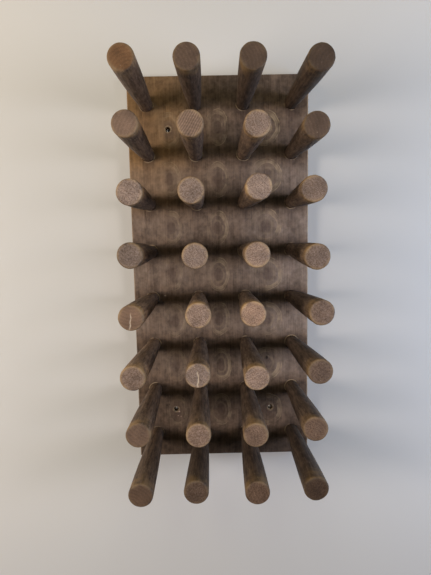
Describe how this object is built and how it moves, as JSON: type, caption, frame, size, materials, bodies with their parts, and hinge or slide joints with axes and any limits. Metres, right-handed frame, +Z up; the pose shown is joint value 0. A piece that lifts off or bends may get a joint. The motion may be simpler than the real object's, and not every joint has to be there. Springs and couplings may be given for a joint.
{
  "type": "wall peg rack",
  "caption": "Wall-hung wooden peg rack: an upright glued board with a grid of long tapered pegs for hanging mugs, cups or bottles.",
  "frame": {"origin": "centre of the board's back face, which lies on the wall", "axes": "+Z up along the board's long side, +Y into the wall, +X to the right seen from the room; the pegs point along -Y"},
  "size_m": [0.3, 0.2094, 0.652],
  "materials": {
    "board_wood": "dark stained, satin, worn",
    "peg_wood": "dark stained, satin, worn paler at the tips"
  },
  "bodies": {
    "root": {"stave_far_left": "board_wood", "stave_left": "board_wood", "stave_middle": "board_wood", "stave_right": "board_wood", "peg_row1_col1": "peg_wood", "peg_row1_col2": "peg_wood", "peg_row1_col3": "peg_wood", "peg_row1_col4": "peg_wood", "peg_row2_col1": "peg_wood", "peg_row2_col2": "peg_wood", "peg_row2_col3": "peg_wood", "peg_row2_col4": "peg_wood", "peg_row3_col1": "peg_wood", "peg_row3_col2": "peg_wood", "peg_row3_col3": "peg_wood", "peg_row3_col4": "peg_wood", "peg_row4_col1": "peg_wood", "peg_row4_col2": "peg_wood", "peg_row4_col3": "peg_wood", "peg_row4_col4": "peg_wood", "peg_row5_col1": "peg_wood", "peg_row5_col2": "peg_wood", "peg_row5_col3": "peg_wood", "peg_row5_col4": "peg_wood", "peg_row6_col1": "peg_wood", "peg_row6_col2": "peg_wood", "peg_row6_col3": "peg_wood", "peg_row6_col4": "peg_wood", "peg_row7_col1": "peg_wood", "peg_row7_col2": "peg_wood", "peg_row7_col3": "peg_wood", "peg_row7_col4": "peg_wood", "peg_row8_col1": "peg_wood", "peg_row8_col2": "peg_wood", "peg_row8_col3": "peg_wood", "peg_row8_col4": "peg_wood"}
  },
  "joints": []
}
